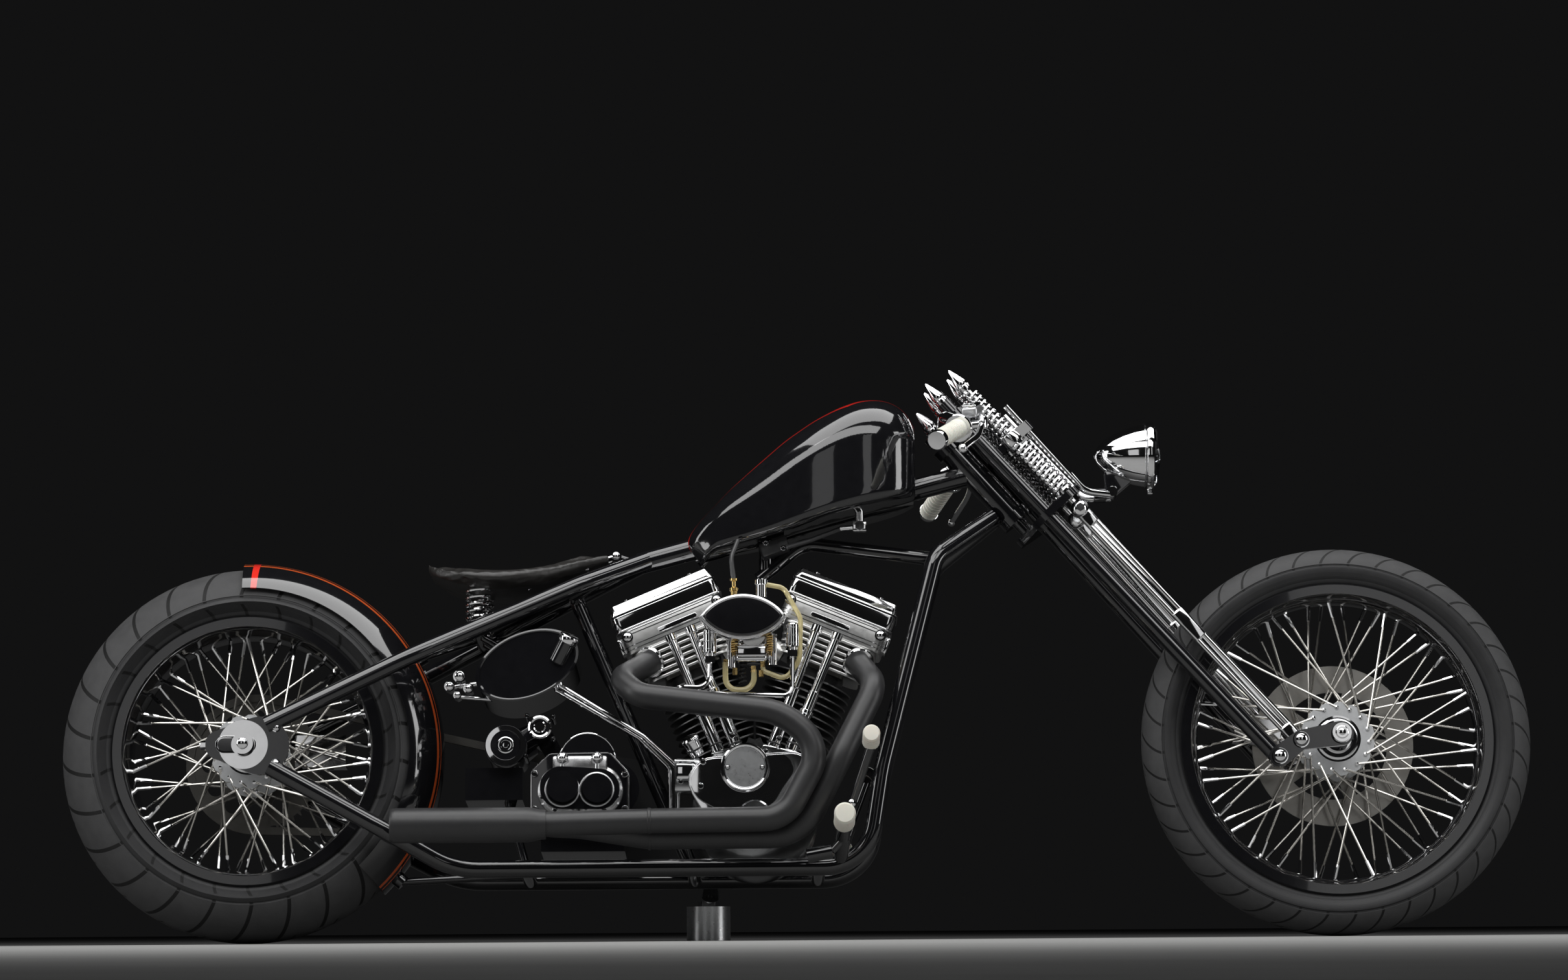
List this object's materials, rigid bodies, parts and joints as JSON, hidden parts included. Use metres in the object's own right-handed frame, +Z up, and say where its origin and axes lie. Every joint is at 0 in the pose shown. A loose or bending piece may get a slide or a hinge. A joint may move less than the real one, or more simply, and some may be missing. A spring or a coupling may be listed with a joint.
{
  "type": "chopper motorcycle",
  "caption": "Long-fork V-twin chopper with rigid frame, springer fork, wire wheels, solo saddle and black side exhaust, leaning on its side stand on a round puck",
  "frame": {"origin": "middle of the overall box at floor level, with the motorcycle leaning on its side stand", "axes": "+X forward, +Y to the rider's left, +Z up"},
  "size_m": [2.644, 0.7832, 1.0274],
  "materials": {
    "gloss_black": "deep gloss black enamel",
    "chrome": "mirror-bright plating",
    "polished_aluminium": "polished cast aluminium",
    "cylinder_silver": "satin silver finned casting",
    "bright_steel": "bright stainless steel",
    "tyre_rubber": "matt black road rubber",
    "satin_black_pipe": "heat-proof satin black",
    "black_plastic": "black moulding",
    "black_leather": "smooth black leather",
    "cream_rubber": "cream ivory moulding",
    "clear_glass": "clear lamp glass"
  },
  "bodies": {
    "frame": {"air_cleaner": "black_plastic", "cam_cover": "chrome", "carburettor": "polished_aluminium", "crankcase": "polished_aluminium", "cylinder_heads": "polished_aluminium", "cylinders": "cylinder_silver", "drive_chain": "bright_steel", "electrics_box": "black_plastic", "exhaust_pipes": "satin_black_pipe", "fender_struts": "gloss_black", "foot_controls": "chrome", "foot_pegs": "cream_rubber", "frame_cradle": "gloss_black", "frame_cross_tubes": "gloss_black", "frame_seat_post": "gloss_black", "frame_spine": "gloss_black", "frame_stays": "gloss_black", "fuel_tank": "gloss_black", "gearbox": "polished_aluminium", "muffler": "satin_black_pipe", "oil_filler_cap": "chrome", "oil_lines": "chrome", "oil_tank": "gloss_black", "primary_cover": "polished_aluminium", "pushrod_tubes": "chrome", "rear_axle": "chrome", "rear_caliper": "chrome", "rear_fender": "gloss_black", "rocker_covers": "chrome", "seat": "black_leather", "seat_springs": "chrome", "stand_lug": "gloss_black", "stand_puck": "polished_aluminium", "starter": "polished_aluminium", "tank_cap": "chrome"},
    "fork": {"fork_rear_legs": "gloss_black", "fork_front_legs": "chrome", "fork_bullets": "chrome", "fork_rockers": "gloss_black", "fork_trees": "gloss_black", "fork_springs": "chrome", "spring_yoke": "chrome", "front_axle": "chrome", "front_caliper": "chrome", "handlebar": "chrome", "grips": "cream_rubber", "levers": "chrome", "headlamp": "chrome", "headlamp_lens": "clear_glass", "lamp_bracket": "chrome"},
    "rear_wheel": {"rear_tyre": "tyre_rubber", "rear_rim": "gloss_black", "rear_hub": "bright_steel", "rear_sprocket": "bright_steel"},
    "front_wheel": {"front_tyre": "tyre_rubber", "front_rim": "gloss_black", "front_hub": "bright_steel", "front_rotor": "bright_steel"},
    "side_stand": {"side_stand": "chrome"}
  },
  "joints": [
    {"name": "steering", "type": "hinge", "parent": "frame", "child": "fork", "pos_m": [0.3405, 0.01167, 0.82446], "axis": [-0.6692, 0.0777, 0.7391], "range_deg": [-32, 32]},
    {"name": "rear_axle_turn", "type": "hinge", "parent": "frame", "child": "rear_wheel", "pos_m": [-0.9835, -0.03953, 0.33731], "axis": [0, 0.9945, -0.1045], "continuous": true},
    {"name": "front_axle_turn", "type": "hinge", "parent": "fork", "child": "front_wheel", "pos_m": [0.9715, -0.0383, 0.34899], "axis": [0, 0.9945, -0.1045], "continuous": true},
    {"name": "side_stand_swing", "type": "hinge", "parent": "frame", "child": "side_stand", "pos_m": [-0.1575, 0.07753, 0.09256], "axis": [0.0918, 0.4795, 0.8728], "range_deg": [0, 80]}
  ]
}
